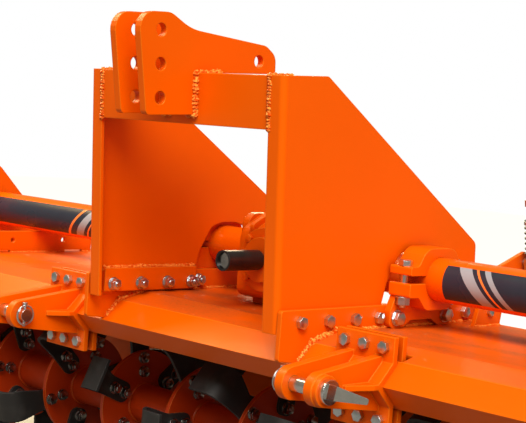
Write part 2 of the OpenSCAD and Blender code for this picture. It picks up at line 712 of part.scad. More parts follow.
// Two round ends on the upper and lower axis, joined by a straight body
module case_2d(r) {
    d = [rotor_y - axis_y, rotor_z - axis_z];
    translate([axis_y, axis_z]) circle(r = r);
    translate([rotor_y, rotor_z]) circle(r = r);
    translate([axis_y, axis_z]) rotate(atan2(d[1], d[0])) translate([0, -r]) square([norm(d), 2 * r]);
}
module gear_case() {
    color(paint) placed() difference() {
        across(case_x, case_x + case_w) case_2d(case_r);
        bore_x(rotor_y, rotor_z, stub_d + 2 * shaft_play, case_x - 1, case_x + hub_l);
        translate([case_x - 1, rotor_y - tip_r, 0]) cube([skid_web_t + 2, 2 * tip_r, end_foot + skid_lap + 2]);
    }
}
module gear_case_cover() {
    color(paint) placed() across(case_x + case_w, case_x + case_w + cover_t) case_2d(case_r - 8);
}
module rotor_bearing() {
    color(paint) placed() on_left() translate([0, rotor_y, rotor_z]) difference() {
        union() {
            bar_x(case_x, case_x + 14, stub_d + 100);
            bar_x(case_x, case_x + hub_l, stub_d + 44);
        }
        bar_x(case_x - 1, case_x + hub_l - 10, stub_d + 2 * shaft_play);
    }
}

// L blade at the top of the rotor, its shank on the plane X = 0 and its tip turned to +X
blade_root = rotor_tube_d / 2 + 14;
blade_lead = tip_w * 0.42;
blade_trail = tip_w - blade_lead;
blade_h = sqrt(tip_r * tip_r - blade_trail * blade_trail);
module blade() {
    q = blade_t + blade_bend;
    intersection() {
        rotate([90, 0, 0]) linear_extrude(3 * tip_w, center = true) union() {
            translate([0, blade_root]) square([blade_t, blade_h - q - blade_root]);
            translate([q, blade_h - q]) intersection() {
                difference() {
                    circle(r = q);
                    circle(r = blade_bend);
                }
                translate([-q, 0]) square(q);
            }
            translate([q, blade_h - blade_t]) square([tip_reach - q, blade_t]);
        }
        across(-1, tip_reach + 1) polygon(rounded([
            [-shank_w / 2, blade_root, 20], [shank_w / 2, blade_root, 20],
            [shank_w / 2, flange_d / 2, 60], [blade_trail, blade_h - 34, 30],
            [blade_trail, tip_r + 5, 0], [-blade_lead, tip_r + 5, 0],
            [-blade_lead, blade_h - 20, 40], [-shank_w / 2, flange_d / 2 + 10, 60]]));
    }
}
module flange_blades(i) {
    for (k = [0:blade_n - 1]) {
        turned = i == 0 ? 0 : i == flange_n - 1 ? 1 : k % 2;
        rotate([i * blade_step + k * 360 / blade_n, 0, 0]) mirror([turned, 0, 0])
            translate([flange_t / 2 - blade_seat, 0, 0]) blade();
    }
}
module rotor() {
    color(black) placed() translate([0, rotor_y, rotor_z]) union() {
        bar_x(15 - end_x, end_x - 15, rotor_tube_d);
        bar_x(-case_x - hub_l + 12, case_x + hub_l - 2, stub_d);
        for (i = [0:flange_n - 1])
            translate([flange_edge - end_x + i * (work_w - 2 * flange_edge) / (flange_n - 1), 0, 0]) {
                bar_x(-flange_t / 2, flange_t / 2, flange_d);
                flange_blades(i);
            }
    }
}

sleeve_y1 = gearbox_y0 - boss_l - 6;
module input_shaft() {
    color(steel) placed() translate([0, 0, axis_z]) difference() {
        translate([0, sleeve_y1 - sleeve_l + 6, 0]) rotate([-90, 0, 0])
            cylinder(d = shaft_d, h = sleeve_l + boss_l + 70);
        for (a = [0:60:300]) rotate([0, a, 0])
            translate([shaft_d / 2 - 2.4, sleeve_y1 - sleeve_l + 5, -4]) cube([10, 60, 8]);
    }
}
module shaft_sleeve() {
    color(black) placed() translate([0, sleeve_y1 - sleeve_l, axis_z]) rotate([-90, 0, 0]) difference() {
        cylinder(d = sleeve_d, h = sleeve_l);
        translate([0, 0, -1]) cylinder(d = shaft_d, h = sleeve_l + 2);
    }
}

// Board with hinge knuckles and the lugs of the spring rods
module board_2d() {
    polygon([board_top + board_nrm * board_t, board_end + board_nrm * board_t + [1, 1],
        lip_end + board_t * [sin(35), cos(35)], lip_end, board_end, board_top]);
}
module trailing_board() {
    half = end_x - board_room;
    color(paint) placed() difference() {
        union() {
            across(-half, half) board_2d();
            for (i = [-2:2]) bore_x(hinge_y, hinge_z, knuckle_d,
                i * (half - knuckle_w) / 2 - knuckle_w / 2, i * (half - knuckle_w) / 2 + knuckle_w / 2);
            for (s = [0, 1], x = [rod_x - 28, rod_x + 18]) mirror([s, 0, 0]) across(x, x + 10) board_lug_2d();
            for (s = [0, 1]) mirror([s, 0, 0]) bore_x(rod_pin[0], rod_pin[1], rod_pin_d, rod_x - 26, rod_x + 26);
        }
        bore_x(hinge_y, hinge_z, hinge_d + 2 * shaft_play, -half - 1, half + 1);
    }
}
module board_lug_2d() {
    s = (rod_pin - board_top) * board_dir;
    foot = board_top + board_nrm * board_t / 2;
    translate(rod_pin) circle(d = rod_pin_d + 20);
    polygon([foot + board_dir * (s - 45), rod_pin + [0, 1] * (rod_pin_d / 2 + 9),
        rod_pin + [1, 0] * (rod_pin_d / 2 + 6), rod_pin - [0, 1] * (rod_pin_d / 2 + 9),
        foot + board_dir * (s + 45)]);
}

arm_x = rod_x - spring_d / 2 - 5;
module rod_brackets() {
    color(paint) placed() for (s = [0, 1]) mirror([s, 0, 0]) difference() {
        across(arm_x - arm_t, arm_x) union() {
            translate(swivel) circle(r = 24);
            polygon(rounded([[deck_rear_y - 95, deck_z, 0], [deck_rear_y - 5, deck_z, 0],
                [deck_rear_y + 8, deck_z + 70, 60], swivel_corner(24, -18), swivel_corner(-4, 24),
                [deck_rear_y - 60, deck_z + swivel_rise - 20, 40]]));
        }
        bore_x(swivel[0], swivel[1], stub_pin_d + 2 * shaft_play, arm_x - arm_t - 1, arm_x + 1);
    }
}
function swivel_corner(dy, dz) = [swivel[0] + dy, swivel[1] + dz, 0];

module rod_swivels() {
    color(steel) placed() for (s = [0, 1]) mirror([s, 0, 0]) {
        bore_x(swivel[0], swivel[1], stub_pin_d, arm_x - arm_t - 2, rod_x - 16);
        on_rod() translate([rod_x, 0, -swivel_h / 2]) difference() {
            translate([-17, -18, 0]) cube([34, 36, swivel_h]);
            translate([0, 0, -1]) cylinder(d = rod_d + 2 * shaft_play, h = swivel_h + 2);
        }
    }
}

module spring_rods() {
    color(steel) placed() for (s = [0, 1]) mirror([s, 0, 0]) {
        on_rod() translate([rod_x, 0, 0]) {
            translate([0, 0, -rod_len + 18]) cylinder(d = rod_d, h = rod_len - 18 + swivel_h / 2 + upper_spring_l + 60);
            translate([0, 0, swivel_h / 2 + upper_spring_l]) cylinder(d = spring_d, h = collar_t);
            translate([0, 0, swivel_h / 2 + upper_spring_l + 40]) cylinder(d = rod_d + 14, h = 14);
            translate([0, 0, -swivel_h / 2 - lower_spring_l - collar_t]) cylinder(d = spring_d, h = collar_t);
        }
        difference() {
            bore_x(rod_pin[0], rod_pin[1], rod_pin_d + 2 * eye_play + 16, rod_x - 12, rod_x + 12);
            bore_x(rod_pin[0], rod_pin[1], rod_pin_d + 2 * eye_play, rod_x - 13, rod_x + 13);
        }
    }
}

// Round wire swept along a helix
module coil(l, turns, d, w, sides = 8, steps = 14) {
    n = turns * steps;
    r = (d - w) / 2;
    pts = [for (i = [0:n], j = [0:sides - 1])
        let (a = 360 * i / steps, b = 360 * j / sides, q = r + w / 2 * cos(b))
        [q * cos(a), q * sin(a), w / 2 + (l - w) * i / n + w / 2 * sin(b)]];
    walls = [for (i = [0:n - 1], j = [0:sides - 1])
        let (k = (j + 1) % sides)
        [i * sides + j, (i + 1) * sides + j, (i + 1) * sides + k, i * sides + k]];
    polyhedron(pts, concat([[for (j = [0:sides - 1]) j]], walls,
        [[for (j = [0:sides - 1]) n * sides + sides - 1 - j]]));
}
module upper_springs() {
    color(dark) placed() for (s = [0, 1]) mirror([s, 0, 0]) on_rod()
        translate([rod_x, 0, swivel_h / 2]) coil(upper_spring_l, 5, spring_d, spring_wire);
}
module lower_springs() {
    color(dark) placed() for (s = [0, 1]) mirror([s, 0, 0]) on_rod()
        translate([rod_x, 0, -swivel_h / 2 - lower_spring_l]) coil(lower_spring_l, 7, spring_d, spring_wire);
}

deck_sheet();
front_beam();
end_plate_left();
end_plate_right();
hinge_rod();
skid_left();
skid_right();
mast_plate_left();
mast_plate_right();
mast_crossbar();
top_link_lug_left();
top_link_lug_right();
mast_strips();
deck_bracket_left();
deck_bracket_right();
hitch_bracket_left();
hitch_bracket_right();
hitch_clamps();
hitch_pin_left();
hitch_pin_right();
gearbox();
beam_tube_left();
beam_tube_right();
clamp_saddle_left();
clamp_saddle_right();
clamp_caps();
gear_case();
gear_case_cover();
rotor_bearing();
rod_brackets();
rotor();
input_shaft();
shaft_sleeve();
trailing_board();
rod_swivels();
upper_springs();
lower_springs();
spring_rods();
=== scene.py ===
import math
import random

import bmesh
import bpy
from mathutils import Matrix, Vector


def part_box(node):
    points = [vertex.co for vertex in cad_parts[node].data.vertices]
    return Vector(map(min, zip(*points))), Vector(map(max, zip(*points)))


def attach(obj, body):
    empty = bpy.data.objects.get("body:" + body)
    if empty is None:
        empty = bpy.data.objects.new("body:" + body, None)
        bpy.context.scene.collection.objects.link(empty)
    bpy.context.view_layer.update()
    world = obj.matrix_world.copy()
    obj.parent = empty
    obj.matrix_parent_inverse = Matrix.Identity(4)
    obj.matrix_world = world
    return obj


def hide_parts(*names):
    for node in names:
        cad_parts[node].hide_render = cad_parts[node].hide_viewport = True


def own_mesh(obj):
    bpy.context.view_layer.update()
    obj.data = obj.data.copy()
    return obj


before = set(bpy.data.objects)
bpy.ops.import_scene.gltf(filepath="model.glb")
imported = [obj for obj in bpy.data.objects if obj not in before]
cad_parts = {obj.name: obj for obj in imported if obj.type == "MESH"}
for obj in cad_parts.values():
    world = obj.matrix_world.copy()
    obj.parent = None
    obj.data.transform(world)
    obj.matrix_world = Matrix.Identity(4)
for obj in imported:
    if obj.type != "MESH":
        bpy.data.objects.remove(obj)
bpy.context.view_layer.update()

# Hood: deck sheet, front beam and end plates
# Folded and flame-cut steel plate, welded to a square tube that stands on its edge,
# sprayed in one glossy orange coat with dust settled on the flat deck.


class Shade:
    """A value in a material. Sums, products and comparisons of values add Math nodes."""

    def __init__(self, tree, socket=None):
        self.tree = tree
        self.socket = socket

    def node(self, kind, settings=None, inputs=None, output=0):
        made = self.tree.nodes.new("ShaderNode" + kind)
        for name, value in (settings or {}).items():
            setattr(made, name, value)
        for name, value in (inputs or {}).items():
            if isinstance(value, Shade):
                self.tree.links.new(value.socket, made.inputs[name])
            else:
                made.inputs[name].default_value = value
        return Shade(self.tree, made.outputs[output] if made.outputs else None)

    def maths(self, operation, first, second=0.0):
        return self.node("Math", {"operation": operation}, {0: first, 1: second})

    def __add__(self, other):
        return self.maths("ADD", self, other)

    def __radd__(self, other):
        return self.maths("ADD", other, self)

    def __sub__(self, other):
        return self.maths("SUBTRACT", self, other)

    def __rsub__(self, other):
        return self.maths("SUBTRACT", other, self)

    def __mul__(self, other):
        return self.maths("MULTIPLY", self, other)

    def __rmul__(self, other):
        return self.maths("MULTIPLY", other, self)

    def __truediv__(self, other):
        return self.maths("DIVIDE", self, other)

    def __lt__(self, other):
        return self.maths("LESS_THAN", self, other)

    def __gt__(self, other):
        return self.maths("GREATER_THAN", self, other)

    def between(self, low, high):
        return (self > low) * (self < high)

    def clipped(self):
        return self.node("Clamp", None, {"Value": self})

    def above(self, low, gain):
        """0 up to low, and from there up to 1 at the given gain."""
        return ((self - low) * gain).clipped()

    def blend(self, first, second):
        """The colour first where this value is 0, and second where it is 1."""
        return self.node("Mix", {"data_type": "RGBA"}, {0: self, 6: first, 7: second}, 2)

    def place(self):
        """Where each spot is on the machine, in metres."""
        return self.node("TexCoord", None, None, "Object")

    def apart_from(self, middle):
        """How far this place is from a middle, along X, Y and Z."""
        offset = self.node("VectorMath", {"operation": "SUBTRACT"}, {0: self, 1: middle})
        return [self.node("SeparateXYZ", None, {0: offset}, letter) for letter in "XYZ"]

    def grain(self, place, scale, detail=3.0):
        """Noise from 0 to 1 over the places given."""
        inputs = {"Vector": place, "Scale": scale, "Detail": detail}
        return self.node("TexNoise", None, inputs, "Fac")

    def rounded(self, radius):
        """Normals that round off the edges."""
        return self.node("Bevel", {"samples": 4}, {"Radius": radius})

    def edge_of(self, rounded):
        """How far the rounded normals turn each spot: 0 on a flat, up to 1 on an edge."""
        flat = self.node("NewGeometry", None, None, "Normal")
        turned = {0: rounded, 1: flat}
        along = self.node("VectorMath", {"operation": "DOT_PRODUCT"}, turned, "Value")
        return ((1.0 - along) * 5.0).clipped()

    def bumped(self, height, strength, distance, rounded=None):
        """Normals with a fine relief, on rounded ones where they are given."""
        relief = {"Height": height, "Strength": strength, "Distance": distance}
        if rounded is not None:
            relief["Normal"] = rounded
        return self.node("Bump", None, relief)

    def surface(self, inputs):
        return self.node("BsdfPrincipled", None, inputs)


def finish_of(name, make):
    """A new material, whose surface comes from make(shade)."""
    material = bpy.data.materials.new(name)
    material.use_nodes = True
    material.node_tree.nodes.clear()
    shade = Shade(material.node_tree)
    shade.node("OutputMaterial", None, {"Surface": make(shade)})
    return material


ORANGE = (0.95, 0.135, 0.0, 1)
ORANGE_DEEP = (0.89, 0.115, 0.0, 1)
# Painted highlight: this paler orange lightens the paint on rounded edges.
ORANGE_EDGE_HIGHLIGHT = (1.0, 0.30, 0.02, 1)
# Painted shade: this deeper orange darkens the paint in nooks.
ORANGE_NOOK_SHADE = (0.42, 0.030, 0.0, 1)
ORANGE_SHEEN = (1.0, 0.70, 0.30, 1)
DUST, BARE_CHIP = (0.27, 0.095, 0.030, 1), (0.95, 0.50, 0.22, 1)
# Painted shade and painted highlight for the paint on the weld beads.
WELD_SHADE, WELD_HIGHLIGHT = (0.66, 0.062, 0.0, 1), (1.0, 0.40, 0.07, 1)
PAINT_EDGE, NOOK_SHADE_REACH = 0.0028, 0.045


def orange_coat(shade, place, colour, gloss=0.30):
    """Sprayed paint: orange peel and slightly uneven gloss, edges painted pale as highlight, nooks
    dark as shade.
    """
    rounded = shade.rounded(PAINT_EDGE)
    # Painted shade: nooks found by ambient occlusion are darkened towards a deeper orange.
    nook_shade = 1.0 - shade.node("AmbientOcclusion", {"samples": 6}, {"Distance": NOOK_SHADE_REACH}, "AO")
    colour = (nook_shade * 0.9 - 0.12).clipped().blend(colour, ORANGE_NOOK_SHADE)
    # Painted highlight: edges are lightened towards a paler orange.
    return shade.surface({
        "Base Color": (shade.edge_of(rounded) * 0.75).blend(colour, ORANGE_EDGE_HIGHLIGHT),
        "Roughness": gloss + 0.16 * shade.grain(place, 11.0),
        "Normal": shade.bumped(shade.grain(place, 380.0, 2.0), 0.05, 0.0006, rounded),
        "Specular IOR Level": 0.30, "Specular Tint": ORANGE_SHEEN, "Coat Weight": 0.03})


def mottled_orange(shade, place):
    return shade.grain(place, 5.0, 4.0).blend(ORANGE_DEEP, ORANGE)


def plain_paint(shade):
    place = shade.place()
    return orange_coat(shade, place, mottled_orange(shade, place))


def dusty_paint(shade):
    """Paint with soil dust and small chips on what faces up."""
    place = shade.place()
    facing = shade.node("TexCoord", None, None, "Normal")
    lying = shade.node("SeparateXYZ", None, {0: facing}, "Z").above(0.86, 8.0)
    streaked = shade.node("Mapping", None, {"Vector": place, "Scale": (0.35, 1.0, 1.0)})
    drift = shade.grain(streaked, 11.0, 6.0).above(0.35, 3.0)
    speck = shade.grain(place, 160.0, 4.0).above(0.5, 5.0)
    dust = lying * (drift * 0.55 + speck * drift * 0.35)
    chip = shade.grain(place, 46.0, 2.0).above(0.70, 14.0) * lying
    colour = dust.blend(mottled_orange(shade, place), DUST)
    colour = (chip * 0.7).blend(colour, BARE_CHIP)
    return orange_coat(shade, place, colour, 0.24)


def weld_paint(shade):
    """Paint over weld scales, with noise patches painted pale as highlight and the rest dark as
    shade.
    """
    place = shade.place()
    # Painted highlight in pale noise patches, painted shade between them.
    highlight_patch = shade.grain(place, 230.0, 4.0).above(0.44, 5.0)
    return shade.surface({
        "Base Color": highlight_patch.blend(WELD_SHADE, WELD_HIGHLIGHT),
        "Roughness": 0.26 + 0.2 * shade.grain(place, 60.0),
        "Normal": shade.bumped(shade.grain(place, 260.0), 0.5, 0.0015),
        "Specular IOR Level": 0.3, "Specular Tint": ORANGE_SHEEN})


paint = finish_of("orange_paint", plain_paint)
bead_paint = finish_of("orange_paint_on_welds", weld_paint)
deck_paint = finish_of("orange_paint_dusty", dusty_paint)


def dress(material, *nodes):
    """Gives nodes of the frame their finish."""
    for node in nodes:
        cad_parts[node].data.materials.clear()
        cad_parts[node].data.materials.append(material)


dress(deck_paint, "deck_sheet", "front_beam")
dress(paint, "end_plate_left", "end_plate_right")

BEAM_Y, BEAM_Z, BEAM_HALF = 87.0, 477.0, 42.43
DECK_Z, DECK_FRONT, DECK_REAR, END_X, END_OUT = 537.0, 155.0, 615.0, 1220.0, 1230.0
REAR_FOLD_RUN, REAR_FOLD_DROP, SEAM = 48, 90, 6
RIB_FACES, RIB_RUNS = (1000, 1010), ((212, 238), (300, 478), (540, 566))
deck_low, deck_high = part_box("deck_sheet")
beam_low, beam_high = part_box("front_beam")
MAST_MID = (deck_low.x + deck_high.x) / 2
POST_FRONT = (beam_low.y + beam_high.y) / 2 - BEAM_Y / 1000


def at(x, y, z):
    """A place in mm: x from the middle plane, y behind the posts' front, z over the ground."""
    return Vector((MAST_MID + x / 1000, POST_FRONT + y / 1000, z / 1000))


uneven = random.Random(11)
SCALE_STEP, SCALE_STRAY, SCALE_R = 0.00042, 0.0007, (0.00046, 0.0006)


def weld(bm, start, end, width):
    """A row of overlapping weld scales in a corner, from start to end."""
    run = end - start
    count = max(3, round(run.length / (width * SCALE_STEP)))
    lie = run.to_track_quat("X", "Z").to_matrix().to_4x4()
    for i in range(count + 1):
        stray = Vector([uneven.uniform(-SCALE_STRAY, SCALE_STRAY) for _ in "xyz"])
        spot = start + run * (i / count) + stray
        flat = Matrix.Diagonal((0.8, 1.0, uneven.uniform(0.75, 1.0), 1.0))
        bmesh.ops.create_icosphere(bm, subdivisions=1, radius=width * uneven.uniform(*SCALE_R),
                                   matrix=Matrix.Translation(spot) @ lie @ flat)


def settle(name, bm, material, body):
    """Turns a bmesh into a finished piece that rides on a body."""
    mesh = bpy.data.meshes.new(name)
    bm.to_mesh(mesh)
    bm.free()
    mesh.shade_smooth()
    mesh.set_sharp_from_angle(angle=math.radians(34))
    mesh.materials.append(material)
    piece = bpy.data.objects.new(name, mesh)
    bpy.context.scene.collection.objects.link(piece)
    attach(piece, body)
    return piece


seams = bmesh.new()
for side in (-1, 1):
    wall = side * END_X
    weld(seams, at(wall, DECK_FRONT, DECK_Z), at(wall, DECK_REAR - 5, DECK_Z), SEAM)
    weld(seams, at(wall, BEAM_Y, BEAM_Z + BEAM_HALF), at(wall, DECK_FRONT, DECK_Z), SEAM)
    weld(seams, at(wall, DECK_REAR, DECK_Z),
         at(wall, DECK_REAR + REAR_FOLD_RUN, DECK_Z - REAR_FOLD_DROP), SEAM)
    for low in (-1, 1):
        weld(seams, at(wall, BEAM_Y - BEAM_HALF, BEAM_Z),
             at(wall, BEAM_Y, BEAM_Z + low * BEAM_HALF), SEAM)
    for x in RIB_FACES:
        for near, far in RIB_RUNS:
            weld(seams, at(side * x, near, DECK_Z), at(side * x, far, DECK_Z), SEAM)
settle("hood_welds", seams, bead_paint, "frame")

# Skids
# Steel runners bent up in front, welded to a web that is bolted to each end plate;
# the bolts are zinc-plated and let the working depth be set.


def zinc_plate(shade):
    place = shade.place()
    cloud = shade.grain(place, 90.0, 4.0)
    return shade.surface({
        "Base Color": cloud.blend((0.50, 0.58, 0.64, 1), (0.78, 0.88, 0.95, 1)),
        "Roughness": 0.24 + 0.12 * shade.grain(place, 160.0), "Metallic": 1.0,
        "Normal": shade.bumped(shade.grain(place, 700.0), 0.05, 0.0003, shade.rounded(0.0009))})


zinc = finish_of("zinc_plate", zinc_plate)


def stand(seat, out, turn=0.0):
    """Places a part that is modelled along Z, so that it stands on seat and faces out."""
    return (Matrix.Translation(seat) @ out.to_track_quat("Z", "Y").to_matrix().to_4x4()
            @ Matrix.Rotation(turn, 4, "Z"))


def disc(bm, seat, out, across, thick, segments=20, taper=1.0):
    """A round part of the given diameter in mm, on seat and facing out."""
    bmesh.ops.create_cone(bm, cap_ends=True, segments=segments, radius1=across / 2000,
                          radius2=across * taper / 2000, depth=thick / 1000,
                          matrix=stand(seat, out) @ Matrix.Translation((0, 0, thick / 2000)))


def hexagon(bm, seat, out, flats, tall):
    """A hexagon with a chamfered face: the head of a bolt, or a nut."""
    wide = flats / 1000 / math.sqrt(3)
    lie = stand(seat, out, uneven.uniform(0, 1.0)) @ Matrix.Translation((0, 0, tall / 2000))
    made = bmesh.ops.create_cone(bm, cap_ends=True, segments=6, radius1=wide, radius2=wide,
                                 depth=tall / 1000, matrix=lie)
    faces = {face for vert in made["verts"] for face in vert.link_faces}
    top = max(faces, key=lambda face: face.calc_center_median().dot(out))
    bmesh.ops.inset_region(bm, faces=[top], thickness=wide * 0.16, depth=wide * 0.09,
                           use_even_offset=True)


M10, M12, M14, M16, M18 = 10, 12, 14, 16, 18
FLATS, HEAD_TALL, NUT_TALL, WASHER_ACROSS, WASHER = 1.55, 0.66, 0.85, 2.05, 2.4


def bolt(bm, seat, out, size, collar=True):
    """A bolt head, with its washer if it has one."""
    if collar:
        disc(bm, seat, out, size * WASHER_ACROSS, WASHER)
        seat = seat + out * WASHER / 1000
    hexagon(bm, seat, out, size * FLATS, size * HEAD_TALL)


def nut(bm, seat, out, size):
    """A washer, a nut and the end of the bolt standing out of it."""
    disc(bm, seat, out, size * WASHER_ACROSS, WASHER)
    hexagon(bm, seat + out * WASHER / 1000, out, size * FLATS, size * NUT_TALL)
    disc(bm, seat + out * (WASHER + size * 0.8) / 1000, out, size * 0.92, size * 0.42, 14, 0.86)


OUT_X, OUT_Y, UP = Vector((1, 0, 0)), Vector((0, 1, 0)), Vector((0, 0, 1))
SKID_FACE, SKID_BOLT_Z, SKID_BOLTS = END_OUT + 10.0, 113.0, (200, 330, 470)
RUNNER_TOP, WEB_FRONT, WEB_REAR = 10, 185, 512
dress(paint, "skid_left", "skid_right")
bolts = bmesh.new()
seams = bmesh.new()
for side in (-1, 1):
    face = side * SKID_FACE
    for y in SKID_BOLTS:
        bolt(bolts, at(face, y, SKID_BOLT_Z), OUT_X * side, M14)
        nut(bolts, at(side * END_X, y, SKID_BOLT_Z), -OUT_X * side, M14)
    weld(seams, at(face, WEB_FRONT, RUNNER_TOP), at(face, WEB_REAR, RUNNER_TOP), 7)
settle("skid_bolts", bolts, zinc, "frame")
settle("skid_welds", seams, bead_paint, "frame")

# Rotor
# A steel tube with eleven welded flanges, painted orange, that carries sixty-six forged
# L blades in black, each held by two bolts with lock nuts.
ROTOR_Y, ROTOR_Z = 320.0, 240.0
FLANGES, FLANGE_EDGE, FLANGE_HALF, FLANGE_R, TUBE_R = 11, 101.0, 5.0, 125.0, 44.5
FLANGE_PITCH = (2 * END_X - 2 * FLANGE_EDGE) / (FLANGES - 1)
BLADES, BLADE_STEP, BLADE_FACE, BLADE_BOLTS = 6, 22.0, 12.0, (76, 110)
# Painted shade: these rotor oranges are darker than the hood's, as the shade under the hood.
ROTOR_ORANGE_SHADED, ROTOR_DEEP_SHADED = (0.60, 0.045, 0.0, 1), (0.44, 0.028, 0.0, 1)
BLADE_BLACK, BLADE_SCUFF = (0.017, 0.017, 0.018, 1), (0.052, 0.051, 0.050, 1)
BLADE_EDGE = (0.11, 0.11, 0.115, 1)


def rotor_coat(shade):
    """Orange in painted shade on tube and flanges, with painted edge highlights; black blades,
    worn paler at edges.
    """
    place = shade.place()
    x, y, z = place.apart_from(at(0, ROTOR_Y, ROTOR_Z))
    reach = shade.maths("SQRT", y * y + z * z)
    turns = (x * 1000.0 + (END_X - FLANGE_EDGE)) / FLANGE_PITCH + 0.5
    off_flange = shade.maths("ABSOLUTE", shade.maths("FRACT", turns) - 0.5) * FLANGE_PITCH
    on_flange = (off_flange < FLANGE_HALF + 0.06) * (reach < (FLANGE_R + 0.3) / 1000)
    core = ((reach < (TUBE_R + 7.5) / 1000) + on_flange).clipped()
    rounded = shade.rounded(0.0018)
    # Painted highlight on tube and flange edges; paler wear on the blade edges.
    edge = shade.edge_of(rounded)
    scuff = shade.grain(place, 30.0, 6.0).above(0.52, 4.0)
    black = (edge * 0.5).blend((scuff * 0.5).blend(BLADE_BLACK, BLADE_SCUFF), BLADE_EDGE)
    # Painted shade: the rotor's mottled orange is darker than the hood's.
    mottled_shaded = shade.grain(place, 9.0, 4.0).blend(ROTOR_DEEP_SHADED, ROTOR_ORANGE_SHADED)
    return shade.surface({
        "Base Color": core.blend(black, (edge * 0.8).blend(mottled_shaded, ORANGE_EDGE_HIGHLIGHT)),
        "Roughness": 0.40 + 0.18 * shade.grain(place, 24.0) - 0.08 * core,
        "Normal": shade.bumped(shade.grain(place, 300.0), 0.08, 0.0006, rounded),
        "Specular IOR Level": 0.45})


def blackened_zinc(shade):
    place = shade.place()
    tone = shade.grain(place, 120.0).blend((0.22, 0.225, 0.23, 1), (0.60, 0.60, 0.59, 1))
    return shade.surface({
        "Base Color": tone, "Roughness": 0.16 + 0.12 * shade.grain(place, 200.0), "Metallic": 1.0,
        "Normal": shade.rounded(0.0012)})


def hoop(bm, spot, centre, wire, sides, steps):
    """A round wire bent to a closed hoop through spot, about an axis along X."""
    made = bmesh.ops.create_circle(
        bm, segments=sides, radius=wire / 2000,
        matrix=Matrix.Translation(spot) @ Matrix.Rotation(math.pi / 2, 4, "X"))
    edges = dict.fromkeys(edge for vert in made["verts"] for edge in vert.link_edges)
    bmesh.ops.spin(bm, geom=made["verts"] + list(edges), cent=centre, axis=OUT_X, dvec=(0, 0, 0),
                   angle=2 * math.pi, steps=steps, use_merge=True)


rotor_paint = finish_of("rotor_paint", rotor_coat)
dark_zinc_and_shaft_shade = finish_of("blackened_zinc", blackened_zinc)
dress(rotor_paint, "rotor")
blade_bolts = bmesh.new()
rotor_seams = bmesh.new()
for i in range(FLANGES):
    flange_x = FLANGE_EDGE - END_X + i * FLANGE_PITCH
    for side in (-1, 1):
        root = at(flange_x + side * (FLANGE_HALF + 1), ROTOR_Y, ROTOR_Z + TUBE_R + 1)
        hoop(rotor_seams, root, at(0, ROTOR_Y, ROTOR_Z), 8, 6, 28)
    for k in range(BLADES):
        turned = {0: 1, FLANGES - 1: -1}.get(i, -1 if k % 2 else 1)
        angle = math.radians(i * BLADE_STEP + k * 360 / BLADES)
        for reach in BLADE_BOLTS:
            y, z = ROTOR_Y - math.sin(angle) * reach, ROTOR_Z + math.cos(angle) * reach
            nut(blade_bolts, at(flange_x + turned * BLADE_FACE, y, z), OUT_X * turned, M14)
            bolt(blade_bolts, at(flange_x - turned * FLANGE_HALF, y, z), -OUT_X * turned, M14)
bmesh.ops.recalc_face_normals(rotor_seams, faces=rotor_seams.faces)
settle("rotor_welds", rotor_seams, rotor_paint, "rotor")
settle("blade_bolts", blade_bolts, dark_zinc_and_shaft_shade, "rotor")

# Rotor bearing and side gear case
# Grey iron castings, painted with the hood; the bearing is bolted to the left end plate
# and the gear case, with its flat cover, to the right one.
dress(paint, "rotor_bearing", "gear_case", "gear_case_cover")
SHAFT_Y, SHAFT_Z = 397.0, 638.5
BEARING_FACE, BEARING_BOLT_R, COVER_FACE, COVER_BOLT_R = -1244.0, 61, 1323.0, 79.0
FILLER, LEVEL_PLUG = (0.42, M18), (0.80, M16)


def around(centre, reach, angle):
    """Y and Z in mm at that reach and angle from a centre."""
    return centre[0] + reach * math.cos(angle), centre[1] + reach * math.sin(angle)


bolts = bmesh.new()
rotor_end, shaft_end = Vector((ROTOR_Y, ROTOR_Z)), Vector((SHAFT_Y, SHAFT_Z))
for k in range(4):
    y, z = around(rotor_end, BEARING_BOLT_R, math.radians(45 + 90 * k))
    bolt(bolts, at(BEARING_FACE, y, z), -OUT_X, M14)
down = rotor_end - shaft_end
heading = math.atan2(down.y, down.x)
for centre, first in ((shaft_end, heading + math.pi / 2), (rotor_end, heading - math.pi / 2)):
    for k in range(5):
        y, z = around(centre, COVER_BOLT_R, first + k * math.pi / 4)
        bolt(bolts, at(COVER_FACE, y, z), OUT_X, M10)
for share in (1 / 3, 2 / 3):
    for side in (-1, 1):
        y, z = shaft_end + down * share + down.orthogonal().normalized() * COVER_BOLT_R * side
        bolt(bolts, at(COVER_FACE, y, z), OUT_X, M10)
for share, size in (FILLER, LEVEL_PLUG):
    y, z = shaft_end + down * share
    bolt(bolts, at(COVER_FACE, y, z), OUT_X, size)
settle("case_and_bearing_bolts", bolts, zinc, "frame")

